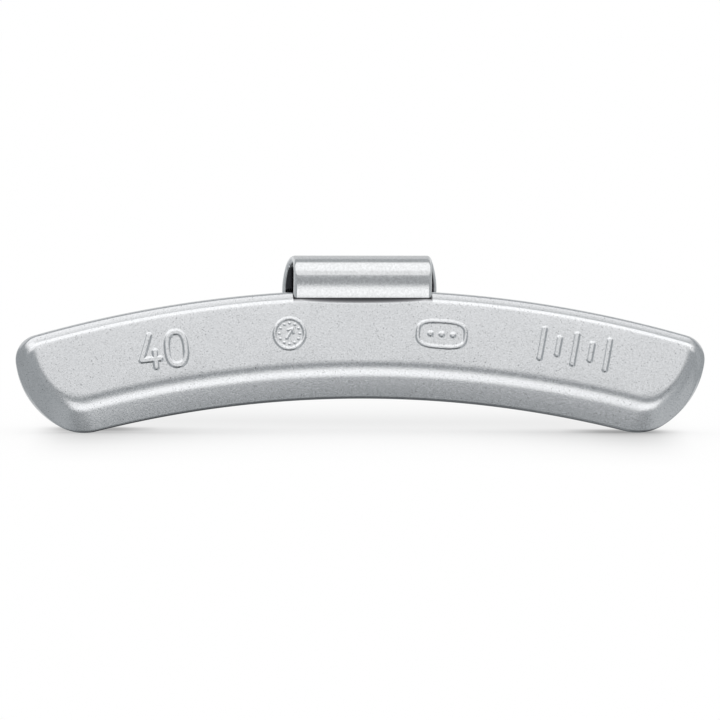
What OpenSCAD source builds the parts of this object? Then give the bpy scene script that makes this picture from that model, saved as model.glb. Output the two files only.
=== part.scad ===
// Clip-on balance weight for a car wheel: a curved die-cast zinc body, and a bent spring-steel
// clip whose lower end is cast into it. It stands on its two lower tips, front face towards -Y.

/* [Body] */
// Radius of the upper edge, which follows the edge of the rim
arc_r = 180; // [160:5:220]
// Height of the body, measured towards the centre of the wheel
body_h = 16.2; // [15:0.2:19]
// Length of the body from end to end
body_l = 103.4; // [92:0.2:120]
// Thickness from the front face to the back
body_t = 4.5; // [4.2:0.1:6]
// Radius of the two upper corners
corner_r = 3.7; // [2.5:0.1:5]
// Radius of the two bulging ends
end_r = 12.8; // [11.5:0.1:16]
// Radius of the two lower tips
tip_r = 7.4; // [6:0.1:8.5]
// Distance of each tip's lowest point from the end of the body
tip_in = 10.2; // [9:0.1:12]

/* [Front edge] */
// Height of the bevel above the face
top_reach = 1.65; // [1.4:0.05:2]
// Depth of the bevel above the face
top_depth = 1.5; // [1.2:0.05:1.8]
// Length of the rounding at each end of the face
end_reach = 3.0; // [2.6:0.1:3.6]
// Depth of the rounding at each end of the face
end_depth = 2.3; // [1.8:0.1:2.4]
// Height of the bevel below the face
low_reach = 6.0; // [5.2:0.1:6.8]
// Depth of the bevel below the face
low_depth = 1.6; // [1.3:0.05:1.9]
// Radius of the face's upper corners
face_corner_r = 0.4; // [0.2:0.1:1]
// Radius of the face's bulging ends
face_end_r = 9.4; // [8.5:0.1:11]
// Radius of the face's lower corners
face_tip_r = 3.4; // [2.6:0.1:4.2]
// How far the face's lower corners lie outside the tips
face_tip_out = 1.4; // [0.6:0.1:2]
// Rounding where the bevels meet the rim of the casting
rim_round = 0.5; // [0.3:0.05:0.6]
// Rounding of the edge round the back
back_round = 0.25; // [0.1:0.05:0.3]

/* [Rim seat] */
// Depth of the hollow at the top of the back, where the edge of the rim lies
seat_depth = 2.2; // [1.8:0.05:2.3]
// Radius of that hollow, seen from the end
seat_r = 20; // [16:1:24]

/* [Spring clip] */
// Thickness of the steel strip
strip_t = 1.1; // [1.05:0.05:1.2]
// Radius of the strip's rolled edges
edge_r = 0.5; // [0.3:0.05:0.5]
// Width of the strip in front
front_w = 20.7; // [16:0.1:24]
// Width of the leg behind the rim
leg_w = 23.2; // [20:0.2:27]
// Length from the crest along which the strip widens to the leg
widen_l = 5.8; // [3:0.2:7]
// Radius of the bend over the rim, at the middle of the strip
crest_r = 2.15; // [2.1:0.05:2.8]
// Radius of the gentle bow in front
bow_r = 14.7; // [12:0.5:18]
// How far the strip leans forward where it leaves the casting, in degrees
front_lean = 13; // [6:1:18]
// How far the leg leans backward, in degrees
leg_lean = 4; // [2:1:8]
// Length of the leg's straight part
leg_l = 7.0; // [5:0.5:8]
// Length of the leg's turned-out lip
lip_l = 0.6; // [0.4:0.1:1]
// Radius of the leg's lower corners
leg_corner_r = 2.5; // [1.5:0.25:3]

/* [Casting round the clip] */
// Depth of the strip's stem inside the zinc
stem_l = 7.5; // [6:0.25:8.5]
// Zinc in front of the stem
front_wall = 0.5; // [0.4:0.05:0.7]
// How far the straight ledge lies below the top of the arc
ledge_drop = 1.25; // [1.15:0.05:1.5]
// Gap between the ledge's side walls and the strip
ledge_gap = 0.1; // [0.05:0.05:0.3]
// Height of the crescent below the ledge
scoop_h = 0.6; // [0.3:0.05:0.8]
// Diameter of the stem's two anchor holes
anchor_d = 3.2; // [2:0.2:4]
// Distance between the anchor holes
anchor_gap = 11; // [8:0.5:12]

/* [Back] */
// Diameter of the two ejector marks
mark_d = 5.0; // [3:0.5:6]
// Depth of the ejector marks
mark_depth = 0.2; // [0.1:0.05:0.4]
// Distance between the ejector marks
mark_gap = 56; // [36:2:64]

/* [Hidden] */
$fn = 96;
slack = 1;

// Facets of the widest circles, and how far the rim seat runs on past both ends, in degrees
wide_fn = 720;
seat_fn = 240;
seat_margin = 8;

// Steps in which the outline's arcs and the depth of the casting are divided
long_steps = 12;
corner_steps = 4;
end_steps = 5;
tip_steps = 6;
front_steps = 8;
side_steps = 3;
back_steps = 2;

// Longest angle and longest straight run between two sections of the strip
bend_step = 6;
run_step = 1;
lip_steps = 5;
edge_steps = 4;

// Angles of the flanks, measured from the face
top_lean = 45;
end_lean = 50;
low_lean = 15;

// Everything is placed from the wheel's axis and the top of the arc, which is the height zero
axis_z = -arc_r;
inner_r = arc_r - body_h;
tip_x = body_l / 2 - tip_in;
tip_z = axis_z + sqrt(pow(inner_r + tip_r, 2) - pow(tip_x, 2)) - tip_r;
ledge_w = front_w + 2 * ledge_gap;
scoop_tilt = 45;

// The strip's route in a side view, from the foot of its stem: [length, radius, turn in degrees].
// A straight run has a length only, and a positive turn bends to the back.
root_r = 1.5;
lip_r = 1.8;
lip_turn = 30;
stem_y = -body_t + front_wall + strip_t / 2;
route = [
    [stem_l, 0, 0],
    [0, root_r, -front_lean],
    [0, bow_r, front_lean],
    [0, crest_r, 180 - leg_lean],
    [leg_l, 0, 0],
    [0, lip_r, -lip_turn],
    [lip_l, 0, 0],
];

function step_ahead(p, step) =
    let (h = p[2], side = sign(step[2]), r = step[1], turned = h + step[2])
    step[1] == 0
    ? [p[0] + step[0] * sin(h), p[1] + step[0] * cos(h), h]
    : [p[0] + side * r * (cos(h) - cos(turned)), p[1] + side * r * (sin(turned) - sin(h)), turned];

function walk(p, first, last) = first > last ? p : walk(step_ahead(p, route[first]), first + 1, last);

start = [stem_y, -ledge_drop - stem_l, 0];
crest_step = 3;
crest_start = walk(start, 0, crest_step - 1);
lip_end = walk(start, 0, len(route) - 1);
front_y = min(-body_t, crest_start[0] - strip_t / 2);
back_y = lip_end[0] - strip_t / 2 * cos(lip_end[2]);
origin = [0, (front_y + back_y) / 2, tip_z];

// A flank starts as a wide rounding, runs on straight at its lean and ends in a small rounding.
// inset() gives how far it lies inside the rim of the casting at depth d behind the face.
function nose_r(reach, depth, lean) =
    (reach - rim_round * (1 - sin(lean)) - (depth - rim_round * cos(lean)) / tan(lean))
    / (sin(lean) - (1 - cos(lean)) / tan(lean));

function inset(d, reach, depth, lean) =
    let (nose = nose_r(reach, depth, lean), straight_end = depth - rim_round * cos(lean))
    d < nose * (1 - cos(lean)) ? reach - sqrt(pow(nose, 2) - pow(nose - d, 2))
    : d < straight_end ? rim_round * (1 - sin(lean)) + (straight_end - d) / tan(lean)
    : d < depth ? rim_round - sqrt(pow(rim_round, 2) - pow(depth - d, 2))
    : 0;

function back_inset(d) =
    let (over = d - (body_t - back_round))
    over > 0 ? back_round - sqrt(pow(back_round, 2) - pow(over, 2)) : 0;

function blend(a, b, share) = a + (b - a) * share;
function heading(v) = atan2(v[1], v[0]);
function arc(c, r, a, b, steps) =
    [for (i = [1:steps]) c + r * [cos(blend(a, b, i / steps)), sin(blend(a, b, i / steps))]];

// Centre of the circle of radius r that holds both the circles round c1 and c2 and touches them
function outer_centre(c1, r1, c2, r2, r) =
    let (
        gap = norm(c2 - c1),
        along = (pow(r - r1, 2) - pow(r - r2, 2) + pow(gap, 2)) / (2 * gap),
        u = (c2 - c1) / gap
    )
    c1 + along * u + sqrt(pow(r - r1, 2) - pow(along, 2)) * [u[1], -u[0]];

// Right half of the outline at depth d, from the top of the arc round the end to the middle below
function half_outline(d) =
    let (
        back = back_inset(d),
        top_in = inset(d, top_reach, top_depth, top_lean) + back,
        low_in = inset(d, low_reach, low_depth, low_lean),
        end_in = inset(d, end_reach, end_depth, end_lean),
        upper = arc_r - top_in,
        lower = inner_r + low_in + back,
        r1 = blend(corner_r, face_corner_r, end_in / end_reach) - back,
        r2 = blend(tip_r, face_tip_r, low_in / low_reach) - back,
        r3 = blend(end_r, face_end_r, end_in / end_reach) - back,
        x1 = body_l / 2 - end_in - back - r1,
        x2 = tip_x + face_tip_out * low_in / low_reach,
        axis = [0, axis_z],
        c1 = [x1, axis_z + sqrt(pow(upper - r1, 2) - pow(x1, 2))],
        c2 = [x2, axis_z + sqrt(pow(lower + r2, 2) - pow(x2, 2))],
        c3 = outer_centre(c1, r1, c2, r2, r3),
        a1 = heading(c1 - axis),
        a2 = heading(c2 - axis)
    )
    concat(
        [[0, axis_z + upper]],
        arc(axis, upper, 90, a1, long_steps),
        arc(c1, r1, a1, heading(c1 - c3), corner_steps),
        arc(c3, r3, heading(c1 - c3), heading(c2 - c3), end_steps),
        arc(c2, r2, heading(c2 - c3), a2 - 180, tip_steps),
        arc(axis, lower, a2, 90, long_steps)
    );

// The whole outline, with the left half mirrored and the two middle points used once
function ring(d) =
    let (half = half_outline(d), last = len(half) - 1)
    concat(
        [for (p = half) [p[0], d - body_t, p[1]]],
        [for (i = [last - 1:-1:1]) [-half[i][0], d - body_t, half[i][1]]]
    );

// Depths are close together at the face, where the wide roundings start
depths = concat(
    [for (i = [0:front_steps]) low_depth * pow(i / front_steps, 2)],
    [for (i = [1:side_steps]) blend(low_depth, end_depth, sin(90 * i / side_steps))],
    [for (i = [0:back_steps]) body_t - back_round * (1 - sin(90 * i / back_steps))]
);

module casting() {
    rings = [for (d = depths) ring(d)];
    n = len(rings[0]);
    last = len(rings) - 1;
    polyhedron(
        points = [for (r = rings) each r],
        faces = concat(
            [[for (i = [n - 1:-1:0]) i]],
            [for (k = [0:last - 1], i = [0:n - 1]) [k * n + i, k * n + (i + 1) % n, (k + 1) * n + i]],
            [for (k = [0:last - 1], i = [0:n - 1])
                [k * n + (i + 1) % n, (k + 1) * n + (i + 1) % n, (k + 1) * n + i]],
            [[for (i = [0:n - 1]) last * n + i]]
        )
    );
}

// Hollow along the top of the back, turned round the wheel's axis
module rim_seat() {
    sweep = 2 * asin(body_l / 2 / inner_r) + seat_margin;
    translate([0, 0, axis_z])
        rotate([-90, 0, 0])
            rotate([0, 0, -90 - sweep / 2])
                rotate_extrude(angle = sweep, $fn = wide_fn)
                    translate([arc_r, seat_r - seat_depth])
                        circle(r = seat_r, $fn = seat_fn);
}

// Straight ledge with two side walls, where the strip leaves the casting
module ledge() {
    translate([-ledge_w / 2, -body_t - slack, -ledge_drop])
        cube([ledge_w, slack + front_wall + strip_t, ledge_drop + slack]);
}

// Crescent below the ledge: a wide cylinder, tilted, that cuts into the edge of the front wall
module scoop() {
    scoop_r = pow(front_w / 2, 2) / (2 * scoop_h * sin(scoop_tilt));
    intersection() {
        translate([0, -body_t, -ledge_drop - scoop_h])
            rotate([-scoop_tilt, 0, 0])
                translate([0, -scoop_r, 0])
                    cylinder(r = scoop_r, h = 2 * front_wall + 2 * slack, center = true, $fn = wide_fn);
        translate([-ledge_w / 2, -body_t - slack, -ledge_drop - scoop_h - slack])
            cube([ledge_w, slack + front_wall + strip_t / 2, scoop_h + 2 * slack]);
    }
}

// Two shallow round marks on the flat band of the back
module ejector_marks() {
    mark_r = inner_r + (body_h - seat_r * sin(acos(1 - seat_depth / seat_r))) / 2;
    for (side = [-1, 1])
        translate([side * mark_gap / 2, -mark_depth, axis_z + sqrt(pow(mark_r, 2) - pow(mark_gap / 2, 2))])
            rotate([-90, 0, 0])
                cylinder(d = mark_d, h = mark_depth + slack);
}

// How much a corner of radius r takes off the strip's side, with so much of its length left
function rounded_off(r, left) = left < r ? r - sqrt(pow(r, 2) - pow(r - left, 2)) : 0;

function run_length(step) = step[1] == 0 ? step[0] : step[1] * abs(step[2]) * PI / 180;
function length_from(i) = i == len(route) ? 0 : run_length(route[i]) + length_from(i + 1);

// The strip keeps its front width up to the crest and then widens to the leg, whose corners are round
crest_left = length_from(crest_step) - crest_r * PI / 2;
function strip_w(left) =
    let (share = max(0, min(1, (crest_left - left) / widen_l)))
    blend(leg_w, front_w, pow(1 - share, 2)) - 2 * rounded_off(leg_corner_r, left);

// Shares of a step at which the strip has a section, close together at the very end of the lip
function shares(i) =
    i == len(route) - 1
    ? [for (k = [0:lip_steps]) 1 - pow(1 - k / lip_steps, 2)]
    : let (n = ceil(max(abs(route[i][2]) / bend_step, route[i][0] / run_step)))
        [for (k = [0:n - 1]) k / n];

// Places of the sections along the route: [y, z, heading, length left]
function stations(p, i) =
    i == len(route) ? []
    : let (step = route[i])
    concat(
        [for (s = shares(i))
            concat(step_ahead(p, [step[0] * s, step[1], step[2] * s]), length_from(i) - s * run_length(step))],
        stations(step_ahead(p, step), i + 1)
    );

// Section of a strip of width w with rolled edges, the thickness along the second coordinate
function section(w) = [
    for (q = [0:3], k = [0:edge_steps])
        let (a = 90 * (q + k / edge_steps), side = q == 0 || q == 3 ? 1 : -1, face = q < 2 ? 1 : -1)
        [side * (w / 2 - edge_r) + edge_r * cos(a), face * (strip_t / 2 - edge_r) + edge_r * sin(a)]
];

function section_at(s) = [
    for (p = section(strip_w(s[3]))) [p[0], s[0] + p[1] * cos(s[2]), s[1] - p[1] * sin(s[2])]
];

module anchors(h) {
    for (side = [-1, 1])
        translate([side * anchor_gap / 2, stem_y, start[1] + stem_l / 2])
            rotate([90, 0, 0])
                cylinder(d = anchor_d, h = h, center = true);
}

// Room for the stem in the zinc, which fills the two anchor holes
module stem_room() {
    difference() {
        translate([0, stem_y, start[1]])
            linear_extrude(height = stem_l + ledge_drop)
                polygon(section(front_w));
        anchors(strip_t + slack);
    }
}

module strip() {
    sections = [for (s = stations(start, 0)) section_at(s)];
    n = len(sections[0]);
    last = len(sections) - 1;
    polyhedron(
        points = [for (s = sections) each s],
        faces = concat(
            [[for (i = [0:n - 1]) i]],
            [for (k = [0:last - 1], i = [0:n - 1]) [k * n + i, (k + 1) * n + i, k * n + (i + 1) % n]],
            [for (k = [0:last - 1], i = [0:n - 1])
                [k * n + (i + 1) % n, (k + 1) * n + i, (k + 1) * n + (i + 1) % n]],
            [[for (i = [n - 1:-1:0]) last * n + i]]
        )
    );
}

module zinc_body() {
    color("#c9ccd0")
        translate(-origin)
            difference() {
                casting();
                rim_seat();
                ledge();
                scoop();
                ejector_marks();
                stem_room();
            }
}

module spring_clip() {
    color("#b4b8bc")
        translate(-origin)
            difference() {
                strip();
                anchors(strip_t + slack);
            }
}

zinc_body();
spring_clip();
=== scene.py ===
import math

import bmesh
import bpy
import numpy as np
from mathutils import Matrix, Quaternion, Vector
from mathutils.geometry import delaunay_2d_cdt


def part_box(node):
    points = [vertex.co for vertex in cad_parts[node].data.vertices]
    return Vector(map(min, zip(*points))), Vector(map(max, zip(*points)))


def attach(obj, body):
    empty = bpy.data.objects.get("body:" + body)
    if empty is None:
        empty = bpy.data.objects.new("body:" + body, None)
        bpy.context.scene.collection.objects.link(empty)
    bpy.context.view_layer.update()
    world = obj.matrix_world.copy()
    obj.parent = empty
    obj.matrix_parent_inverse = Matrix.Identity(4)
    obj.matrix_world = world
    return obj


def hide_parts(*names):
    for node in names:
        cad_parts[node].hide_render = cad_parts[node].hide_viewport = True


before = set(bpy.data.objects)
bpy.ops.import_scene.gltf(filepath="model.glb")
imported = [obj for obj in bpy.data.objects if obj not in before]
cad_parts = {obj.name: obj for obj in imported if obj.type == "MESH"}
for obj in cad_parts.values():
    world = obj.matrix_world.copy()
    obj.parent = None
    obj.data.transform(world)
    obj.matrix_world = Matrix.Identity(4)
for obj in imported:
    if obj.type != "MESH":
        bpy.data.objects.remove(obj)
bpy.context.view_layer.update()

# Camera
# It stands a little to the left of the weight and a little above it, with a long lens, and
# looks at the middle of the picture's frame on the casting.
view_centre = Vector((-0.00006, 0.0, 0.01081))
view_distance = 2.0
view_side = math.radians(-6.5)
view_height = math.radians(2.5)
view_roll = math.radians(0.28)
frame_width = 0.1074

camera_data = bpy.data.cameras.new("camera")
camera_data.sensor_width = 36.0
camera_data.lens = camera_data.sensor_width * view_distance / frame_width
camera_data.clip_end = 10.0
camera = bpy.data.objects.new("camera", camera_data)
bpy.context.scene.collection.objects.link(camera)
view_from = Vector((
    math.sin(view_side) * math.cos(view_height),
    -math.cos(view_side) * math.cos(view_height),
    math.sin(view_height),
))
camera.location = view_centre + view_from * view_distance
camera.rotation_euler = (view_from.to_track_quat("Z", "Y") @ Quaternion((0, 0, 1), view_roll)).to_euler()
bpy.context.scene.camera = camera

# Casting
# The body is one zinc alloy die casting, about 35 g, with a fine-grained silver coating. It is curved
# like the rim, flat in front, with a short steep flank above, a long shallow one below and rounded ends.
# A hollow along the top of the back takes the edge of the rim, and the clip comes out of a straight ledge.
arc_r = 0.180
body_h = 0.0162
body_l = 0.1034
body_t = 0.0045
tip_in = 0.0102
tip_x = body_l / 2 - tip_in
inner_r = arc_r - body_h
corner_r, face_corner_r = 0.0037, 0.0004
end_r, face_end_r = 0.0128, 0.0094
tip_r, face_tip_r = 0.0074, 0.0034
face_tip_out = 0.0014
back_round = 0.00025
# Each flank: its reach and depth, its lean, how far it bows out in the middle of its straight part, and the
# radius of its rim
top_flank = (0.00165, 0.0016, math.radians(44.5), -0.000012, 0.0008)
end_flank = (0.0030, 0.0023, math.radians(50), 0.0, 0.0005)
low_flank = (0.0060, 0.0016, math.radians(15), 0.00003, 0.0005)

casting_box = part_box("zinc_body")
back_y = casting_box[1].y
top_z = casting_box[1].z
axis_z = top_z - arc_r
face_y = back_y - body_t


def inset(depth_in, flank):
    """How far a flank lies inside the rim of the casting, at a depth behind the face."""
    reach, depth, lean, bow, rim_round = flank
    straight_end = depth - rim_round * math.cos(lean)
    nose = (reach - rim_round * (1 - math.sin(lean)) - straight_end / math.tan(lean)) / (
        math.sin(lean) - (1 - math.cos(lean)) / math.tan(lean))
    nose_end = nose * (1 - math.cos(lean))
    if depth_in < nose_end:
        return reach - math.sqrt(max(nose ** 2 - (nose - depth_in) ** 2, 0))
    if depth_in < straight_end:
        along = (depth_in - nose_end) / (straight_end - nose_end)
        straight = rim_round * (1 - math.sin(lean)) + (straight_end - depth_in) / math.tan(lean)
        return straight - 4 * bow * along * (1 - along)
    if depth_in < depth:
        return rim_round - math.sqrt(max(rim_round ** 2 - (depth - depth_in) ** 2, 0))
    return 0.0


def back_inset(depth_in):
    over = depth_in - (body_t - back_round)
    return back_round - math.sqrt(max(back_round ** 2 - over ** 2, 0)) if over > 0 else 0.0


def blend(a, b, share):
    return a + (b - a) * share


def heading(v):
    return math.atan2(v[1], v[0])


def arc_points(centre, r, start, end, steps):
    angles = [blend(start, end, i / steps) for i in range(1, steps + 1)]
    return [centre + r * np.array([math.cos(a), math.sin(a)]) for a in angles]


def bulge_centre(c1, r1, c2, r2, r):
    """Centre of the circle of radius r that holds both other circles and touches them."""
    gap = np.linalg.norm(c2 - c1)
    along = ((r - r1) ** 2 - (r - r2) ** 2 + gap ** 2) / (2 * gap)
    u = (c2 - c1) / gap
    return c1 + along * u + math.sqrt((r - r1) ** 2 - along ** 2) * np.array([u[1], -u[0]])


def outline(depth_in, long_steps=60, corner_steps=10, end_steps=16, tip_steps=18):
    """The casting's outline at a depth behind the face, as x and z, clockwise from the top."""
    back = back_inset(depth_in)
    top_in = inset(depth_in, top_flank) + back
    low_in = inset(depth_in, low_flank)
    end_in = inset(depth_in, end_flank)
    end_share = end_in / end_flank[0]
    low_share = low_in / low_flank[0]
    upper = arc_r - top_in
    lower = inner_r + low_in + back
    r1 = blend(corner_r, face_corner_r, end_share) - back
    r2 = blend(tip_r, face_tip_r, low_share) - back
    r3 = blend(end_r, face_end_r, end_share) - back
    x1 = body_l / 2 - end_in - back - r1
    x2 = tip_x + face_tip_out * low_share
    axis = np.array([0.0, axis_z])
    c1 = np.array([x1, axis_z + math.sqrt((upper - r1) ** 2 - x1 ** 2)])
    c2 = np.array([x2, axis_z + math.sqrt((lower + r2) ** 2 - x2 ** 2)])
    c3 = bulge_centre(c1, r1, c2, r2, r3)
    a1 = heading(c1 - axis)
    a2 = heading(c2 - axis)
    half = [np.array([0.0, axis_z + upper])]
    half += arc_points(axis, upper, math.pi / 2, a1, long_steps)
    half += arc_points(c1, r1, a1, heading(c1 - c3), corner_steps)
    half += arc_points(c3, r3, heading(c1 - c3), heading(c2 - c3), end_steps)
    half += arc_points(c2, r2, heading(c2 - c3), a2 - math.pi, tip_steps)
    half += arc_points(axis, lower, a2, math.pi / 2, long_steps)
    return half + [np.array([-p[0], p[1]]) for p in half[-2:0:-1]]


# Depths of the casting's rings: close together where the flanks start, and even along their roundings
start_steps, even_steps, back_steps = 24, 26, 6
even_from = 0.0010
even_step = 0.00005
least_step = 0.000004
ring_depths = {round(low_flank[1] * (i / start_steps) ** 2, 8) for i in range(start_steps + 1)}
ring_depths |= {round(even_from + even_step * i, 8) for i in range(even_steps + 1)}
ring_depths |= {round(body_t - back_round * (1 - math.sin(math.pi / 2 * i / back_steps)), 8)
                for i in range(back_steps + 1)}
ring_depths = sorted(ring_depths)
ring_depths = [d for i, d in enumerate(ring_depths) if i == 0 or d - ring_depths[i - 1] > least_step]

# Marks cast on the face, as round beads along lines: the weight in grams at the left, and plain generic
# mould marks in the other places. Each bead: its half width, the half width of its top, and its height.
digit_bead = (0.00050, 0.00022, 0.00019)
tick_bead = (0.00050, 0.00022, 0.00018)
dot_bead = (0.00050, 0.00022, 0.00016)
frame_bead = (0.00034, 0.00012, 0.00017)
ring_bead = (0.00031, 0.00010, 0.00016)
hour_bead = (0.00022, 0.00004, 0.00012)
hand_bead = (0.00022, 0.00004, 0.00013)
grid_step = 0.00006


def placed(points, place):
    """Points of a mark, in millimetres round its middle, turned and moved to a place on the face."""
    x, z, turn = place
    c, s = math.cos(turn), math.sin(turn)
    return [(x + (p[0] * c - p[1] * s) / 1000, z + (p[0] * s + p[1] * c) / 1000) for p in points]


def oval(a, b, power=2.0, steps=64):
    """A closed line that is an ellipse at power 2 and squarer above it."""
    points = []
    for i in range(steps + 1):
        t = 2 * math.pi * i / steps
        c, s = math.cos(t), math.sin(t)
        x, z = math.copysign(abs(c) ** (2 / power), c), math.copysign(abs(s) ** (2 / power), s)
        points.append((a * x, b * z))
    return points


# Each mark's middle and its turn, and then its lines in millimetres
number_place = (-0.0297, 0.0125, math.radians(6))
dial_place = (-0.0110, 0.0149, 0)
hands_place = (-0.0110, 0.0149, math.radians(-30))
frame_place = (0.0118, 0.0148, math.radians(-4))
scale_place = (0.0318, 0.0126, math.radians(-10))
digit_four = [[(-2.1, 2.35), (-3.55, -1.25), (-0.75, -1.25)], [(-1.45, -0.1), (-1.45, -2.45)]]
digit_nought = [[(p[0] + 1.8, p[1]) for p in oval(1.4, 2.45, 2.5)]]
dial_hands = [[(0, -0.8), (0, 0.85)], [(-0.45, 0.35), (0, 0.85), (0.45, 0.35)]]
dial_ring_r, dial_hour_r = 2.25, 1.55
dot_gap = 1.7
tick_gap, long_tick, short_tick = 2.5, 2.2, 1.2

beads = [(placed(line, number_place), *digit_bead) for line in digit_four + digit_nought]
beads.append((placed(oval(dial_ring_r, dial_ring_r), dial_place), *ring_bead))
for hour in range(12):
    a = 2 * math.pi * hour / 12
    dot = (dial_hour_r * math.cos(a), dial_hour_r * math.sin(a))
    beads.append((placed([dot, dot], dial_place), *hour_bead))
for line in dial_hands:
    beads.append((placed(line, hands_place), *hand_bead))
beads.append((placed(oval(3.6, 1.9, 3.2), frame_place), *frame_bead))
for side in (-1, 0, 1):
    dot = (dot_gap * side, 0)
    beads.append((placed([dot, dot], frame_place), *dot_bead))
for tick in range(5):
    half_tick = long_tick if tick % 2 == 0 else short_tick
    x_tick = tick_gap * (tick - 2)
    beads.append((placed([(x_tick, -half_tick), (x_tick, half_tick)], scale_place), *tick_bead))


def line_distance(points, line):
    """Distance of each point from a line of straight pieces."""
    best = np.full(len(points), np.inf)
    for a, b in zip(line[:-1], line[1:]):
        a, b = np.array(a), np.array(b)
        length2 = max(float((b - a) @ (b - a)), 1e-18)
        share = np.clip(((points - a) @ (b - a)) / length2, 0, 1)
        best = np.minimum(best, np.linalg.norm(points - a - share[:, None] * (b - a), axis=1))
    return best


def bead_heights(points):
    """Height of the beads above the face, with a soft foot and a rounded top, and which points are near."""
    height = np.zeros(len(points))
    near = np.zeros(len(points), bool)
    for line, half, top, rise in beads:
        distance = line_distance(points, line)
        share = np.clip((half - distance) / (half - top), 0, 1)
        height = np.maximum(height, rise * share ** 2 * (3 - 2 * share))
        near |= distance < half + 2 * grid_step
    return height, near


def face_mesh(ring):
    """The flat face with its beads: points and triangles that use the first ring's points."""
    grid = [np.array(ring)]
    for line, half, top, rise in beads:
        low = np.min(line, axis=0) - half - 3 * grid_step
        high = np.max(line, axis=0) + half + 3 * grid_step
        xs = np.arange(math.floor(low[0] / grid_step), math.ceil(high[0] / grid_step)) * grid_step
        zs = np.arange(math.floor(low[1] / grid_step), math.ceil(high[1] / grid_step)) * grid_step
        grid.append(np.array(np.meshgrid(xs, zs)).reshape(2, -1).T)
    inner = np.unique(np.round(np.concatenate(grid[1:]), 8), axis=0)
    height, near = bead_heights(inner)
    inner, height = inner[near], height[near]
    count = len(ring)
    flat = [Vector((p[0], p[1])) * 1000 for p in np.concatenate([grid[0], inner])]
    edges = [(i, (i + 1) % count) for i in range(count)]
    points, _, faces, origins, _, _ = delaunay_2d_cdt(flat, edges, [], 1, 1e-7)
    new_height = [0.0] * len(points)
    ring_of = {}
    for i, source in enumerate(origins):
        if source[0] < count:
            ring_of[i] = source[0]
        else:
            new_height[i] = float(height[source[0] - count])
    return points, faces, new_height, ring_of


def walled(mesh, rings):
    """New points for each ring, with a wall of faces from each ring to the next."""
    verts = [[mesh.verts.new(p) for p in ring] for ring in rings]
    count = len(rings[0])
    for near, far in zip(verts[:-1], verts[1:]):
        for i in range(count):
            j = (i + 1) % count
            mesh.faces.new((near[i], near[j], far[j], far[i]))
    return verts


def linked(name, data):
    obj = bpy.data.objects.new(name, data)
    bpy.context.scene.collection.objects.link(obj)
    return obj


def finished(name, mesh):
    """An object with the finished mesh, its faces pointing outwards."""
    bmesh.ops.recalc_face_normals(mesh, faces=mesh.faces)
    data = bpy.data.meshes.new(name)
    mesh.to_mesh(data)
    mesh.free()
    return linked(name, data)


def casting_solid():
    """The casting before its cuts: a wall through all rings, the back, and the face with its beads."""
    mesh = bmesh.new()
    flat_rings = [outline(d) for d in ring_depths]
    rings = [[(p[0], face_y + d, p[1]) for p in ring] for ring, d in zip(flat_rings, ring_depths)]
    verts = walled(mesh, rings)
    mesh.faces.new(verts[-1])
    points, faces, height, ring_of = face_mesh(flat_rings[0])
    front = []
    for i, p in enumerate(points):
        if i in ring_of:
            front.append(verts[0][ring_of[i]])
        else:
            front.append(mesh.verts.new((p[0] / 1000, face_y - height[i], p[1] / 1000)))
    for face in faces:
        mesh.faces.new([front[i] for i in face])
    return finished("zinc_casting", mesh)


def solid(name, rings):
    """A closed solid through rings of points, its two ends capped."""
    mesh = bmesh.new()
    verts = walled(mesh, rings)
    mesh.faces.new(verts[0])
    mesh.faces.new(verts[-1])
    return finished(name, mesh)


def round_cutter(name, x, z, r, low_y, high_y, steps):
    """A round rod that runs along y."""
    angles = [2 * math.pi * i / steps for i in range(steps)]
    circle = [(x + r * math.cos(a), z + r * math.sin(a)) for a in angles]
    return solid(name, [[(p[0], y, p[1]) for p in circle] for y in (low_y, high_y)])


def baked(obj):
    """The evaluated mesh in place of the object's own, with its modifiers gone."""
    view = bpy.context.evaluated_depsgraph_get()
    data = bpy.data.meshes.new_from_object(obj.evaluated_get(view), preserve_all_data_layers=True,
                                           depsgraph=view)
    old = obj.data
    obj.modifiers.clear()
    obj.data = data
    data.name = obj.name
    bpy.data.meshes.remove(old)
    return obj


def cut(obj, cutter):
    """Takes the cutter's shape out of the object, and removes the cutter."""
    change = obj.modifiers.new("cut", "BOOLEAN")
    change.operation = "DIFFERENCE"
    change.solver = "EXACT"
    change.object = cutter
    bpy.context.view_layer.update()
    baked(obj)
    bpy.data.objects.remove(cutter)


# Hollow for the edge of the rim: a round groove turned about the wheel's axis
seat_depth = 0.0022
seat_r = 0.020
seat_out = 0.002
seat_over = math.radians(4)
seat_profile_steps, seat_sweep_steps = 48, 240


def seat_cutter():
    groove_y = back_y + seat_r - seat_depth
    profile = []
    start = math.asin(seat_out / seat_r)
    end = -math.acos((seat_r - seat_depth - seat_out) / seat_r)
    for i in range(seat_profile_steps + 1):
        a = blend(start, end, i / seat_profile_steps)
        profile.append((arc_r + seat_r * math.sin(a), groove_y - seat_r * math.cos(a)))
    profile.append((arc_r + seat_out, back_y + seat_out))
    sweep = math.asin(body_l / 2 / inner_r) + seat_over
    rings = []
    for i in range(seat_sweep_steps + 1):
        a = blend(-sweep, sweep, i / seat_sweep_steps)
        rings.append([(r * math.sin(a), y, axis_z + r * math.cos(a)) for r, y in profile])
    return solid("seat_cutter", rings)


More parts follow.
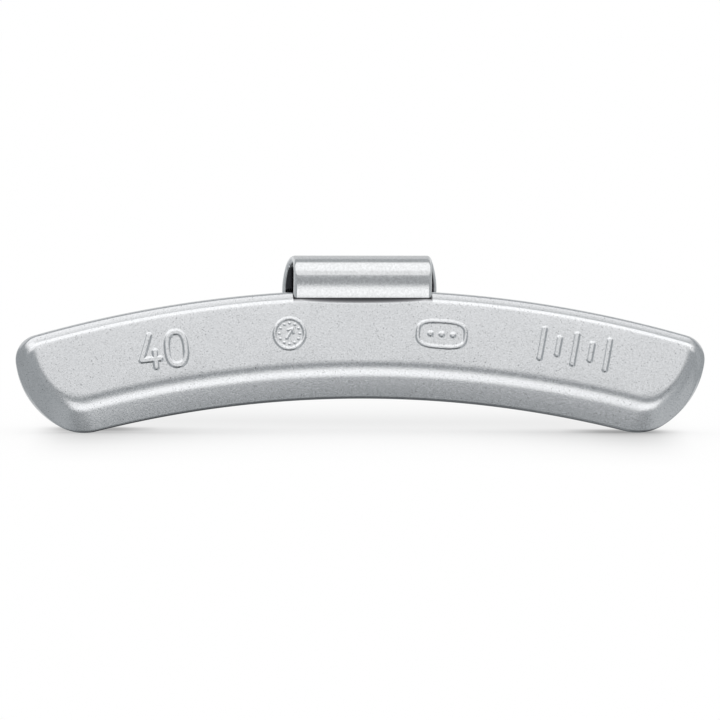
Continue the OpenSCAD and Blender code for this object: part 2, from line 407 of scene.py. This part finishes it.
# Ledge where the clip comes out, the gap in front of the clip, and the crescent below the ledge
strip_t = 0.0011
strip_edge_r = 0.0005
front_w = 0.0207
front_wall = 0.0005
ledge_drop = 0.00125
ledge_gap = 0.0001
stem_l = 0.0075
anchor_r = 0.0016
anchor_gap = 0.011
scoop_h = 0.00075
scoop_tilt = math.radians(50)
scoop_from, scoop_to, scoop_below = -0.0016, 0.00095, 0.004
scoop_steps = 80
hole_steps = 40
edge_steps = 6
cut_over = 0.001
ledge_w = front_w + 2 * ledge_gap
stem_y = face_y + front_wall + strip_t / 2
stem_foot_z = top_z - ledge_drop - stem_l


def box_cutter(name, low, high):
    corners = [(low[0], low[2]), (high[0], low[2]), (high[0], high[2]), (low[0], high[2])]
    return solid(name, [[(x, y, z) for x, z in corners] for y in (low[1], high[1])])


def scoop_cutter():
    """The room under a half ellipse as wide as the ledge, tilted down towards the front."""
    c, s = math.cos(scoop_tilt), math.sin(scoop_tilt)
    rings = []
    for along in (scoop_from, scoop_to):
        ring = []
        for i in range(scoop_steps + 1):
            a = math.pi * (1 - i / scoop_steps)
            ring.append((ledge_w / 2 * math.cos(a), -scoop_h * c * (1 - math.sin(a))))
        ring += [(ledge_w / 2, -scoop_below), (-ledge_w / 2, -scoop_below)]
        rings.append([(x, face_y + along * c + v * s, top_z - ledge_drop - scoop_h + along * s - v * c)
                      for x, v in ring])
    return solid("scoop_cutter", rings)


def anchor_cutter(side):
    return round_cutter("anchor_cutter", side * anchor_gap / 2, stem_foot_z + stem_l / 2, anchor_r,
                        stem_y - strip_t, stem_y + strip_t, hole_steps)


def stem_cutter():
    """The stem's own room in the zinc, which also fills its two anchor holes."""
    section = []
    for quarter in range(4):
        for i in range(edge_steps + 1):
            a = math.pi / 2 * (quarter + i / edge_steps)
            side = 1 if quarter in (0, 3) else -1
            face = 1 if quarter < 2 else -1
            section.append((side * (front_w / 2 - strip_edge_r) + strip_edge_r * math.cos(a),
                            stem_y + face * (strip_t / 2 - strip_edge_r) + strip_edge_r * math.sin(a)))
    room = solid("stem_cutter", [[(x, y, z) for x, y in section]
                                 for z in (stem_foot_z, stem_foot_z + stem_l + ledge_drop)])
    for side in (-1, 1):
        cut(room, anchor_cutter(side))
    return room


casting = casting_solid()
cut(casting, seat_cutter())
cut(casting, box_cutter("ledge_cutter", (-ledge_w / 2, face_y - cut_over, top_z - ledge_drop),
                        (ledge_w / 2, stem_y + strip_t / 2, top_z + cut_over)))
cut(casting, scoop_cutter())
cut(casting, stem_cutter())

# Ejector marks: two shallow round prints of the mould's pins in the flat band of the back
pin_r = 0.0025
pin_depth = 0.0002
pin_x = 0.028
pin_steps = 48
band_r = inner_r + (body_h - seat_r * math.sin(math.acos(1 - seat_depth / seat_r))) / 2
pin_z = axis_z + math.sqrt(band_r ** 2 - pin_x ** 2)
for side in (-1, 1):
    cut(casting, round_cutter("pin_cutter", side * pin_x, pin_z, pin_r, back_y - pin_depth, back_y + cut_over,
                              pin_steps))


def smooth_faces(obj, sharp_angle):
    """Smooth shading with sharp edges kept, led by the large faces."""
    obj.data.shade_smooth()
    obj.data.set_sharp_from_angle(angle=sharp_angle)
    keep = obj.modifiers.new("face_weight", "WEIGHTED_NORMAL")
    keep.keep_sharp = True
    keep.weight = 80
    bpy.context.view_layer.update()
    baked(obj)


smooth_faces(casting, math.radians(32))


fleck_edge = 0.05


def grain_group():
    """Fine grain of a coated or rolled metal surface: a height and a mask of small flecks."""
    group = bpy.data.node_groups.new("metal_grain", "ShaderNodeTree")
    face = group.interface
    for name, value in (("Grain Size", 4000.0), ("Fleck Size", 2600.0), ("Fleck Share", 0.3)):
        face.new_socket(name=name, in_out="INPUT", socket_type="NodeSocketFloat").default_value = value
    face.new_socket(name="Height", in_out="OUTPUT", socket_type="NodeSocketFloat")
    face.new_socket(name="Fleck", in_out="OUTPUT", socket_type="NodeSocketFloat")
    nodes, links = group.nodes, group.links
    inside = nodes.new("NodeGroupInput")
    outside = nodes.new("NodeGroupOutput")
    place = nodes.new("ShaderNodeTexCoord")
    grain = nodes.new("ShaderNodeTexNoise")
    grain.inputs["Detail"].default_value = 3.0
    grain.inputs["Roughness"].default_value = 0.65
    fleck = nodes.new("ShaderNodeTexNoise")
    fleck.inputs["Detail"].default_value = 1.0
    pick = nodes.new("ShaderNodeMapRange")
    pick.interpolation_type = "SMOOTHSTEP"
    links.new(place.outputs["Object"], grain.inputs["Vector"])
    links.new(place.outputs["Object"], fleck.inputs["Vector"])
    links.new(inside.outputs["Grain Size"], grain.inputs["Scale"])
    links.new(inside.outputs["Fleck Size"], fleck.inputs["Scale"])
    links.new(fleck.outputs["Fac"], pick.inputs["Value"])
    links.new(inside.outputs["Fleck Share"], pick.inputs["From Min"])
    edge = nodes.new("ShaderNodeMath")
    edge.operation = "SUBTRACT"
    edge.inputs[1].default_value = fleck_edge
    links.new(inside.outputs["Fleck Share"], edge.inputs[0])
    links.new(edge.outputs[0], pick.inputs["From Max"])
    links.new(grain.outputs["Fac"], outside.inputs["Height"])
    links.new(pick.outputs["Result"], outside.inputs["Fleck"])
    return group


metal_grain = grain_group()


def node_tools(tree):
    """Three functions for a node tree: put sets or links an input, maths adds a Math node, and ramp adds a
    node that gives 0 at low and 1 at high, and is smooth between them."""
    def put(value, socket):
        if isinstance(value, (int, float, tuple)):
            socket.default_value = value
        else:
            tree.links.new(value, socket)

    def maths(operation, *values):
        node = tree.nodes.new("ShaderNodeMath")
        node.operation = operation
        for value, socket in zip(values, node.inputs):
            put(value, socket)
        return node.outputs[0]

    def ramp(value, low, high):
        node = tree.nodes.new("ShaderNodeMapRange")
        node.interpolation_type = "SMOOTHSTEP"
        put(value, node.inputs["Value"])
        put(low, node.inputs["From Min"])
        put(high, node.inputs["From Max"])
        return node.outputs["Result"]

    return put, maths, ramp


def tint(material, share, colour):
    """Moves the material's base colour towards another, by a share from 0 to 1."""
    nodes, links = material.node_tree.nodes, material.node_tree.links
    base = nodes["Principled BSDF"].inputs["Base Color"]
    before = base.links[0].from_socket
    mix = nodes.new("ShaderNodeMix")
    mix.data_type = "RGBA"
    links.new(share, mix.inputs["Factor"])
    links.new(before, mix.inputs["A"])
    mix.inputs["B"].default_value = (*colour, 1.0)
    links.new(mix.outputs["Result"], base)


# How far the grain varies a metal's colour and its roughness
mottle_low, mottle_high = 0.76, 1.24
dull_low, dull_high = 0.8, 1.2


def metal_material(name, colour, fleck_colour, metallic, roughness, bump_distance, grain_size, fleck_size,
                   fleck_share):
    """A grained metal: its grain varies the colour and roughness and gives a bump, with small dark flecks."""
    material = bpy.data.materials.new(name)
    material.use_nodes = True
    nodes, links = material.node_tree.nodes, material.node_tree.links
    shader = nodes["Principled BSDF"]
    shader.inputs["Metallic"].default_value = metallic
    grain = nodes.new("ShaderNodeGroup")
    grain.node_tree = metal_grain
    grain.inputs["Grain Size"].default_value = grain_size
    grain.inputs["Fleck Size"].default_value = fleck_size
    grain.inputs["Fleck Share"].default_value = fleck_share
    mottle = nodes.new("ShaderNodeMix")
    mottle.data_type = "RGBA"
    mottle.inputs["A"].default_value = (*(mottle_low * c for c in colour), 1.0)
    mottle.inputs["B"].default_value = (*(mottle_high * c for c in colour), 1.0)
    links.new(grain.outputs["Height"], mottle.inputs["Factor"])
    links.new(mottle.outputs["Result"], shader.inputs["Base Color"])
    tint(material, grain.outputs["Fleck"], fleck_colour)
    dull = nodes.new("ShaderNodeMapRange")
    dull.inputs["To Min"].default_value = roughness * dull_low
    dull.inputs["To Max"].default_value = roughness * dull_high
    links.new(grain.outputs["Height"], dull.inputs["Value"])
    links.new(dull.outputs["Result"], shader.inputs["Roughness"])
    bump = nodes.new("ShaderNodeBump")
    bump.inputs["Distance"].default_value = bump_distance
    links.new(grain.outputs["Height"], bump.inputs["Height"])
    links.new(bump.outputs["Normal"], shader.inputs["Normal"])
    return material


silver_coat = metal_material("silver_coat", (0.75, 0.76, 0.775), (0.34, 0.35, 0.36), 1.0, 0.17, 0.0000055,
                             4200.0, 6000.0, 0.33)


# Painted shade in the recess round the clip's foot: how fast it fades towards the face, and its margins at
# the ledge's sides, behind the strip and below the scoop
joint_fall = 2.4
joint_side, joint_back, joint_below = 0.00002, 0.00003, 0.0001


def paint_joint_shade(material, colour):
    """Painted shade in the recess round the foot of the clip: darkest beside the strip, gone at the face."""
    nodes, links = material.node_tree.nodes, material.node_tree.links
    put, maths, _ = node_tools(material.node_tree)
    place = nodes.new("ShaderNodeTexCoord")
    split = nodes.new("ShaderNodeSeparateXYZ")
    links.new(place.outputs["Object"], split.inputs[0])
    shallow = nodes.new("ShaderNodeMapRange")
    put(split.outputs["Y"], shallow.inputs["Value"])
    put(face_y, shallow.inputs["From Min"])
    put(face_y + front_wall, shallow.inputs["From Max"])
    put(1.0, shallow.inputs["To Min"])
    put(0.0, shallow.inputs["To Max"])
    share = maths("SUBTRACT", 1.0, maths("POWER", shallow.outputs["Result"], joint_fall))
    inside_x = maths("LESS_THAN", maths("ABSOLUTE", split.outputs["X"]), ledge_w / 2 - joint_side)
    inside_y = maths("LESS_THAN", split.outputs["Y"], stem_y + strip_t / 2 + joint_back)
    inside_z = maths("GREATER_THAN", split.outputs["Z"], top_z - ledge_drop - scoop_h - joint_below)
    inside = maths("MULTIPLY", inside_y, inside_z)
    tint(material, maths("MULTIPLY", maths("MULTIPLY", share, inside_x), inside), colour)


# Painted shade, nearly black, in the recess round the foot of the clip
paint_joint_shade(silver_coat, (0.07, 0.07, 0.075))
casting.data.materials.clear()
casting.data.materials.append(silver_coat)
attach(casting, "root")
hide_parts("zinc_body")

# Spring clip
# It is spring-steel strip 1.1 mm thick, bent over the edge of the rim, wider behind than in front, with
# punched and tumbled edges. Its foot, with two anchor holes, is cast into the zinc.
leg_w = 0.0232
widen_l = 0.0058
root_r = 0.0015
bow_r = 0.0159
front_lean = math.radians(13)
bow_turn = math.radians(12)
shoulder_r, crest_r, back_r = 0.0018, 0.00270, 0.00181
shoulder_turn = math.radians(41)
leg_lean = math.radians(4)
leg_l = 0.00737
lip_r = 0.0018
lip_turn = math.radians(30)
lip_l = 0.0006
leg_corner_r = 0.0025
route_step = 0.00012

# The strip's route from the foot of the stem: each piece is a straight length, or a bend's radius and turn
clip_route = [
    (stem_l, 0, 0),
    (0, root_r, -front_lean),
    (0, bow_r, bow_turn),
    (0, shoulder_r, shoulder_turn),
    (0, crest_r, math.pi / 2 + front_lean - bow_turn - shoulder_turn),
    (0, back_r, math.pi / 2 - leg_lean),
    (leg_l, 0, 0),
    (0, lip_r, -lip_turn),
    (lip_l, 0, 0),
]


def step_ahead(p, length, r, turn):
    """A point and heading further along the route: straight for a length, or round a bend."""
    y, z, head = p
    side = math.copysign(1, turn)
    if r == 0:
        return y + length * math.sin(head), z + length * math.cos(head), head
    turned = head + turn
    return (y + side * r * (math.cos(head) - math.cos(turned)),
            z + side * r * (math.sin(turned) - math.sin(head)), turned)


def route_points():
    p = (stem_y, stem_foot_z, 0.0)
    points = [p]
    for length, r, turn in clip_route:
        parts = max(2, math.ceil(max(length, r * abs(turn)) / route_step))
        points += [step_ahead(p, length * k / parts, r, turn * k / parts) for k in range(1, parts + 1)]
        p = points[-1]
    return points


crest_s = sum(length + r * abs(turn) for length, r, turn in clip_route[:5])

# Where the painted shade lies: along the strip above the stem, below the top, and through the thickness
joint_full, joint_gone = 0.00020, 0.00038
shade_starts, shade_full = 0.0012, 0.0022
inner_starts, inner_full = 0.48, 0.50
# Where the painted highlight on the edges lies, in shares of the edge's radius beyond the flat
highlight_starts, highlight_full = 0.5, 0.8


def strip_tree():
    """Geometry Nodes tree that lays a strip with round edges along a route, wider behind the rim."""
    tree = bpy.data.node_groups.new("clip_strip", "GeometryNodeTree")
    face = tree.interface
    face.new_socket(name="Geometry", in_out="INPUT", socket_type="NodeSocketGeometry")
    sizes = (
        ("Front Width", front_w), ("Leg Width", leg_w), ("Thickness", strip_t), ("Edge Radius", strip_edge_r),
        ("Corner Radius", leg_corner_r), ("Crest", crest_s), ("Widening", widen_l), ("Stem", stem_l),
        ("Top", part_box("spring_clip")[1].z),
    )
    for name, value in sizes:
        face.new_socket(name=name, in_out="INPUT", socket_type="NodeSocketFloat").default_value = value
    face.new_socket(name="Material", in_out="INPUT", socket_type="NodeSocketMaterial")
    face.new_socket(name="Geometry", in_out="OUTPUT", socket_type="NodeSocketGeometry")
    nodes, links = tree.nodes, tree.links
    given = nodes.new("NodeGroupInput")
    result = nodes.new("NodeGroupOutput")

    put, maths, ramp = node_tools(tree)

    def vector(operation, a, b=(0.0, 0.0, 0.0), scale=None):
        node = nodes.new("ShaderNodeVectorMath")
        node.operation = operation
        put(a, node.inputs[0])
        if scale is None:
            put(b, node.inputs[1])
        else:
            put(scale, node.inputs["Scale"])
        return node.outputs["Vector"]

    def parts_of(value):
        node = nodes.new("ShaderNodeSeparateXYZ")
        put(value, node.inputs[0])
        return node.outputs

    def kept(geometry, name, value, kind="FLOAT"):
        node = nodes.new("GeometryNodeStoreNamedAttribute")
        node.data_type = kind
        node.domain = "POINT"
        node.inputs["Name"].default_value = name
        put(geometry, node.inputs["Geometry"])
        put(value, node.inputs["Value"])
        return node.outputs["Geometry"]

    def named(name, kind="FLOAT"):
        node = nodes.new("GeometryNodeInputNamedAttribute")
        node.data_type = kind
        node.inputs["Name"].default_value = name
        return node.outputs["Attribute"]

    def round_off(radius, left):
        """How much a corner of the given radius takes off, with so much length left."""
        short = maths("MAXIMUM", maths("SUBTRACT", radius, left), 0.0)
        squares = maths("SUBTRACT", maths("MULTIPLY", radius, radius), maths("MULTIPLY", short, short))
        return maths("SUBTRACT", radius, maths("SQRT", maths("MAXIMUM", squares, 0.0)))

    route = nodes.new("GeometryNodeMeshToCurve")
    links.new(given.outputs["Geometry"], route.inputs[0])
    aimed = nodes.new("GeometryNodeSetCurveNormal")
    aimed.mode = "FREE"
    links.new(route.outputs[0], aimed.inputs["Curve"])
    aimed.inputs["Normal"].default_value = (1.0, 0.0, 0.0)

    place = nodes.new("GeometryNodeInputPosition").outputs[0]
    walked = nodes.new("GeometryNodeSplineParameter").outputs["Length"]
    whole = nodes.new("GeometryNodeSplineLength").outputs["Length"]
    left = maths("SUBTRACT", whole, walked)
    behind = maths("DIVIDE", maths("SUBTRACT", walked, given.outputs["Crest"]), given.outputs["Widening"])
    short = maths("SUBTRACT", 1.0, maths("MINIMUM", maths("MAXIMUM", behind, 0.0), 1.0))
    share = maths("SUBTRACT", 1.0, maths("MULTIPLY", short, short))
    widths = maths("SUBTRACT", given.outputs["Leg Width"], given.outputs["Front Width"])
    extra = maths("MULTIPLY", maths("MULTIPLY", widths, share), 0.5)
    extra = maths("SUBTRACT", extra, round_off(given.outputs["Corner Radius"], left))
    ahead = nodes.new("GeometryNodeInputTangent").outputs[0]
    across = vector("CROSS_PRODUCT", ahead, (1.0, 0.0, 0.0))
    curve = kept(aimed.outputs[0], "widen", extra)
    curve = kept(curve, "thin", round_off(given.outputs["Edge Radius"], left))
    curve = kept(curve, "outward", across, "FLOAT_VECTOR")
    curve = kept(curve, "middle", place, "FLOAT_VECTOR")
    # Painted shade on the strip in the joint at the ledge, fading out a little above it
    above_stem = maths("SUBTRACT", walked, given.outputs["Stem"])
    curve = kept(curve, "joint", ramp(above_stem, joint_gone, joint_full))

    section = nodes.new("GeometryNodeCurvePrimitiveQuadrilateral")
    links.new(given.outputs["Front Width"], section.inputs["Width"])
    links.new(given.outputs["Thickness"], section.inputs["Height"])
    rounded = nodes.new("GeometryNodeFilletCurve")
    rounded.mode = "POLY"
    links.new(section.outputs[0], rounded.inputs["Curve"])
    rounded.inputs["Count"].default_value = edge_steps
    links.new(given.outputs["Edge Radius"], rounded.inputs["Radius"])

    strip = nodes.new("GeometryNodeCurveToMesh")
    strip.inputs["Fill Caps"].default_value = True
    links.new(curve, strip.inputs["Curve"])
    links.new(rounded.outputs[0], strip.inputs["Profile Curve"])

    point = nodes.new("GeometryNodeInputPosition").outputs[0]
    side = maths("SIGN", parts_of(point)["X"])
    shifted = nodes.new("ShaderNodeCombineXYZ")
    links.new(maths("MULTIPLY", side, named("widen")), shifted.inputs["X"])
    off_middle = nodes.new("ShaderNodeVectorMath")
    off_middle.operation = "DOT_PRODUCT"
    links.new(vector("SUBTRACT", point, named("middle", "FLOAT_VECTOR")), off_middle.inputs[0])
    links.new(named("outward", "FLOAT_VECTOR"), off_middle.inputs[1])
    face_side = maths("SIGN", off_middle.outputs["Value"])
    pull = maths("MULTIPLY", maths("MULTIPLY", face_side, named("thin")), -1.0)
    thinned = vector("SCALE", named("outward", "FLOAT_VECTOR"), scale=pull)
    moved = nodes.new("GeometryNodeSetPosition")
    links.new(strip.outputs[0], moved.inputs["Geometry"])
    links.new(vector("ADD", shifted.outputs[0], thinned), moved.inputs["Offset"])

    # Painted shade on the inner side of the bend below the top, joined with the painted shade in the joint
    thick = given.outputs["Thickness"]
    inwards = ramp(off_middle.outputs["Value"], maths("MULTIPLY", thick, inner_starts),
                   maths("MULTIPLY", thick, inner_full))
    below_top = maths("SUBTRACT", given.outputs["Top"], parts_of(point)["Z"])
    inner_shade = maths("MULTIPLY", inwards, ramp(below_top, shade_starts, shade_full))
    sided = kept(moved.outputs[0], "painted_shade", maths("MAXIMUM", inner_shade, named("joint")))
    # Painted highlight, near white, on the rounded edges of the strip
    edge_r = given.outputs["Edge Radius"]
    flat_half = maths("SUBTRACT", maths("MULTIPLY", given.outputs["Front Width"], 0.5), edge_r)
    flat_half = maths("ADD", flat_half, named("widen"))
    beyond = maths("SUBTRACT", maths("ABSOLUTE", parts_of(point)["X"]), flat_half)
    painted_edge_highlight = ramp(beyond, maths("MULTIPLY", edge_r, highlight_starts),
                     maths("MULTIPLY", edge_r, highlight_full))
    sided = kept(sided, "painted_edge_highlight", painted_edge_highlight)
    finish = nodes.new("GeometryNodeSetMaterial")
    links.new(sided, finish.inputs["Geometry"])
    links.new(given.outputs["Material"], finish.inputs["Material"])
    whole_strip = nodes.new("GeometryNodeRealizeInstances")
    links.new(finish.outputs[0], whole_strip.inputs[0])
    links.new(whole_strip.outputs[0], result.inputs["Geometry"])
    return tree


clip_steel = metal_material("clip_steel", (0.71, 0.72, 0.73), (0.53, 0.54, 0.55), 0.86, 0.14, 0.000004,
                            2600.0, 5200.0, 0.25)


def tint_by(material, attribute, colour):
    """Moves the base colour towards another, by an attribute of the mesh."""
    share = material.node_tree.nodes.new("ShaderNodeAttribute")
    share.attribute_name = attribute
    tint(material, share.outputs["Fac"], colour)


# Painted highlight, near white, on the rounded edges, and painted shade, nearly black, on the inner side of
# the bend and in the joint
tint_by(clip_steel, "painted_edge_highlight", (0.94, 0.95, 0.96))
tint_by(clip_steel, "painted_shade", (0.06, 0.06, 0.065))


def set_input(modifier, name, value):
    """Sets an input of a Geometry Nodes modifier by its socket's identifier."""
    for item in modifier.node_group.interface.items_tree:
        if item.item_type == "SOCKET" and item.in_out == "INPUT" and item.name == name:
            modifier[item.identifier] = value


def strip_object():
    mesh = bpy.data.meshes.new("clip_route")
    points = [(0.0, y, z) for y, z, head in route_points()]
    mesh.from_pydata(points, [(i, i + 1) for i in range(len(points) - 1)], [])
    clip = linked("steel_clip", mesh)
    laid = clip.modifiers.new("strip", "NODES")
    laid.node_group = strip_tree()
    set_input(laid, "Material", clip_steel)
    bpy.context.view_layer.update()
    return baked(clip)


clip = strip_object()
for side in (-1, 1):
    cut(clip, anchor_cutter(side))
smooth_faces(clip, math.radians(40))
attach(clip, "root")
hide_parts("spring_clip")

# Floor
# A plain white table top. Its white comes partly from the even light and partly from its own glow, and
# soft shadows round the weight are painted into its colour and its glow. Glossy rays pass it, so that the
# metal shows the studio below it.
floor_half = 3.0
floor_glow = 0.75
# Turn of the painted shadows about the vertical
shade_turn = math.radians(6.5)

floor_data = bpy.data.meshes.new("floor")
floor_data.from_pydata([(-floor_half, -floor_half, 0), (floor_half, -floor_half, 0),
                        (floor_half, floor_half, 0), (-floor_half, floor_half, 0)], [], [(0, 1, 2, 3)])
floor = linked("floor", floor_data)
floor.visible_glossy = False
floor_white = bpy.data.materials.new("floor_white")
floor_white.use_nodes = True
f_nodes = floor_white.node_tree.nodes
floor_shader = f_nodes["Principled BSDF"]
floor_shader.inputs["Roughness"].default_value = 1.0
floor_shader.inputs["Specular IOR Level"].default_value = 0.0
floor_shader.inputs["Emission Strength"].default_value = floor_glow
f_put, f_maths, _ = node_tools(floor_white.node_tree)

# The painted soft shadows round the weight, as a sum of parts. Each part is an across ramp times a forward
# ramp:
# the distance across from the middle, and forwards from a line behind the weight, in millimetres. Each
# stop of a ramp is a distance and a shade.
painted_floor_shadows = (
    # in front of the weight and under its arch
    (((0, 0.14), (15, 0.20), (24, 0.34), (30, 0.53), (34, 0.68), (38, 0.88), (42, 0.90), (45, 0.62),
      (48, 0.18), (51, 0.04), (60, 0.0)), 0.030,
     ((0, 0.0), (15, 0.12), (24, 0.37), (32, 0.40), (39, 0.33), (45, 0.27), (55, 0.21), (69, 0.13),
      (89, 0.06), (117, 0.01), (140, 0.0))),
    # behind it
    (((0, 1.0), (30, 1.0), (40, 0.6), (50, 0.0)), 0.140,
     ((0, 0.0), (30, 0.02), (43, 0.033), (57, 0.048), (70, 0.070), (84, 0.099), (98, 0.131), (111, 0.136),
      (125, 0.075), (138, 0.01), (150, 0.0))),
    # at the contact of the two tips
    (((0, 0.0), (30, 0.0), (35, 0.8), (38, 1.0), (43, 1.0), (46, 0.3), (49, 0.0)), 0.030,
     ((0, 0.0), (15, 0.0), (20, 0.25), (25, 0.24), (29, 0.13), (32, 0.05), (36, 0.01), (42, 0.0))),
)


def shade_ramp(metres, stops):
    """The painted shade at a distance, along a smooth line through the stops."""
    reach = stops[-1][0]
    node = f_nodes.new("ShaderNodeValToRGB")
    marks = node.color_ramp.elements
    while len(marks) < len(stops):
        marks.new(0.5)
    for mark, (place, grey) in zip(marks, stops):
        mark.position = place / reach
        mark.color = (grey, grey, grey, 1)
    node.color_ramp.interpolation = "CARDINAL"
    f_put(f_maths("MULTIPLY", metres, 1000 / reach), node.inputs["Fac"])
    return node.outputs["Color"]


floor_turn = f_nodes.new("ShaderNodeVectorRotate")
floor_turn.rotation_type = "Z_AXIS"
floor_turn.inputs["Angle"].default_value = shade_turn
f_put(f_nodes.new("ShaderNodeTexCoord").outputs["Object"], floor_turn.inputs["Vector"])
floor_split = f_nodes.new("ShaderNodeSeparateXYZ")
f_put(floor_turn.outputs["Vector"], floor_split.inputs[0])

shade = 0.0
for across_stops, start_y, forward_stops in painted_floor_shadows:
    across = shade_ramp(f_maths("ABSOLUTE", floor_split.outputs["X"]), across_stops)
    forward = shade_ramp(f_maths("MULTIPLY_ADD", floor_split.outputs["Y"], -1.0, start_y), forward_stops)
    shade = f_maths("MULTIPLY_ADD", across, forward, shade)
# The painted shadow darkens the floor's base colour and its glow alike
for white, socket in ((1 - floor_glow, "Base Color"), (1.0, "Emission Color")):
    unshaded = f_nodes.new("ShaderNodeMapRange")
    unshaded.inputs["To Min"].default_value = white
    unshaded.inputs["To Max"].default_value = 0.0
    f_put(shade, unshaded.inputs["Value"])
    f_put(unshaded.outputs["Result"], floor_shader.inputs[socket])
floor_data.materials.append(floor_white)

# Studio
# Even white light from all round. Mirrored in the metal it has a bright card at the camera's height, a
# bright sky above and behind, a bright low card in front with a dark gap over it, and a darker table.
world = bpy.data.worlds.new("studio")
bpy.context.scene.world = world
world.use_nodes = True
w_nodes = world.node_tree.nodes
w_nodes.clear()
w_put, w_maths, w_ramp = node_tools(world.node_tree)

direction = w_nodes.new("ShaderNodeTexCoord").outputs["Generated"]
split = w_nodes.new("ShaderNodeSeparateXYZ")
w_put(direction, split.inputs[0])
to_degrees = 180 / math.pi
# Turn about the weight's length from straight ahead (0) over the top (90) to straight behind (180), and
# swing to the side, from straight left (-90) to straight right (90)
forwards = w_maths("MULTIPLY", split.outputs["Y"], -1.0)
pitch = w_maths("MULTIPLY", w_maths("ARCTAN2", split.outputs["Z"], forwards), to_degrees)
swing = w_maths("MULTIPLY", w_maths("ARCSINE", split.outputs["X"]), to_degrees)


def band(value, low, low_soft, high, high_soft, tilted=None):
    """1 between two soft edges; the high edge may be measured on a tilted value."""
    above = w_ramp(value, low - low_soft / 2, low + low_soft / 2)
    past = w_ramp(value if tilted is None else tilted, high - high_soft / 2, high + high_soft / 2)
    return w_maths("MULTIPLY", above, w_maths("SUBTRACT", 1.0, past))


studio_grey = 0.41
# The low card's high edge falls to the right, by so many degrees a degree of swing, on both sides of a
# middle and as far as a reach
edge_fall = 0.55
fall_middle, fall_reach = 6.5, 4.0
# Each card: lowest and highest pitch, with the softness of each edge, the same for the swing, light added,
# and whether its high edge falls to the right
cards = (
    # the card at the camera's height, and its brighter middle
    (-4.6, 2.5, 3.0, 8.0, -15.0, 42.0, 32.0, 44.0, 0.44, False),
    (-4.6, 2.5, 3.0, 8.0, -5.5, 7.5, 14.0, 8.0, 0.22, False),
    # the sky in front, and its brighter upper part
    (3.0, 8.0, 90.0, 8.0, -58.0, 30.0, 62.0, 30.0, 0.62, False),
    (24.0, 16.0, 84.0, 8.0, -58.0, 30.0, 62.0, 30.0, 0.27, False),
    # the sky behind, above and below the level
    (117.0, 12.0, 182.0, 1.0, -47.0, 20.0, 47.0, 20.0, 0.28, False),
    (-182.0, 1.0, -150.0, 20.0, -47.0, 20.0, 47.0, 20.0, 0.28, False),
    # the low card, its bright middle, and the dark gap over it
    (-29.3, 2.5, -16.0, 2.5, 1.0, 6.0, 26.0, 30.0, 0.24, True),
    (-29.3, 2.5, -16.0, 2.5, -0.5, 4.0, 18.0, 6.0, 0.80, True),
    (-29.3, 2.5, -4.4, 3.0, -4.0, 10.0, 16.0, 14.0, -0.09, False),
    # the dark table under the weight, its darker right part, the part in front of it and its near edge
    (-150.0, 20.0, -70.0, 20.0, -14.0, 12.0, 28.0, 12.0, -0.25, False),
    (-150.0, 20.0, -60.0, 20.0, 13.0, 6.0, 28.0, 12.0, -0.10, False),
    (-70.0, 20.0, -37.5, 4.0, -2.0, 8.0, 15.0, 8.0, -0.27, False),
    (-34.8, 1.6, -30.0, 5.0, -3.0, 6.0, 13.0, 4.0, -0.12, False),
    # the lighter table to its left and right, and farther to the right
    (-41.0, 6.0, -30.0, 5.0, -19.0, 8.0, -2.0, 5.0, 0.07, False),
    (-41.0, 6.0, -30.0, 5.0, 13.3, 2.5, 27.0, 12.0, 0.12, False),
    (-110.0, 20.0, -34.5, 8.0, 24.0, 14.0, 60.0, 20.0, 0.16, False),
    # the wall at the far left and the wall at the far right
    (-182.0, 1.0, 182.0, 1.0, -100.0, 1.0, -74.0, 14.0, -0.03, False),
    (-182.0, 1.0, 182.0, 1.0, 74.0, 14.0, 100.0, 1.0, 0.05, False),
)
near_swing = w_maths("MINIMUM", w_maths("MAXIMUM", swing, fall_middle - fall_reach), fall_middle + fall_reach)
fall = w_maths("MULTIPLY", w_maths("SUBTRACT", near_swing, fall_middle), edge_fall)
fallen_pitch = w_maths("ADD", pitch, fall)
light = studio_grey
for *edges, added, falls in cards:
    upright = band(pitch, *edges[:4], fallen_pitch if falls else None)
    card = w_maths("MULTIPLY", upright, band(swing, *edges[4:]))
    light = w_maths("ADD", light, w_maths("MULTIPLY", card, added))

rays = w_nodes.new("ShaderNodeLightPath")
mirror_ray = w_maths("MAXIMUM", rays.outputs["Is Glossy Ray"], rays.outputs["Is Transmission Ray"])
mirror_light = w_maths("MULTIPLY", mirror_ray, light)
even_light = w_maths("SUBTRACT", 1.0, mirror_ray)
background = w_nodes.new("ShaderNodeBackground")
w_put(w_maths("ADD", mirror_light, even_light), background.inputs["Strength"])
# The dark parts of the studio are a little cooler than its bright ones
cool_until, white_from = 0.3, 0.9
cool = w_nodes.new("ShaderNodeMix")
cool.data_type = "RGBA"
w_put(w_maths("MAXIMUM", even_light, w_ramp(light, cool_until, white_from)), cool.inputs["Factor"])
cool.inputs["A"].default_value = (0.95, 1.0, 1.03, 1)
cool.inputs["B"].default_value = (1, 1, 1, 1)
w_put(cool.outputs["Result"], background.inputs["Color"])
w_put(background.outputs[0], w_nodes.new("ShaderNodeOutputWorld").inputs["Surface"])

scene = bpy.context.scene
scene.view_settings.view_transform = "Standard"

bpy.context.view_layer.update()
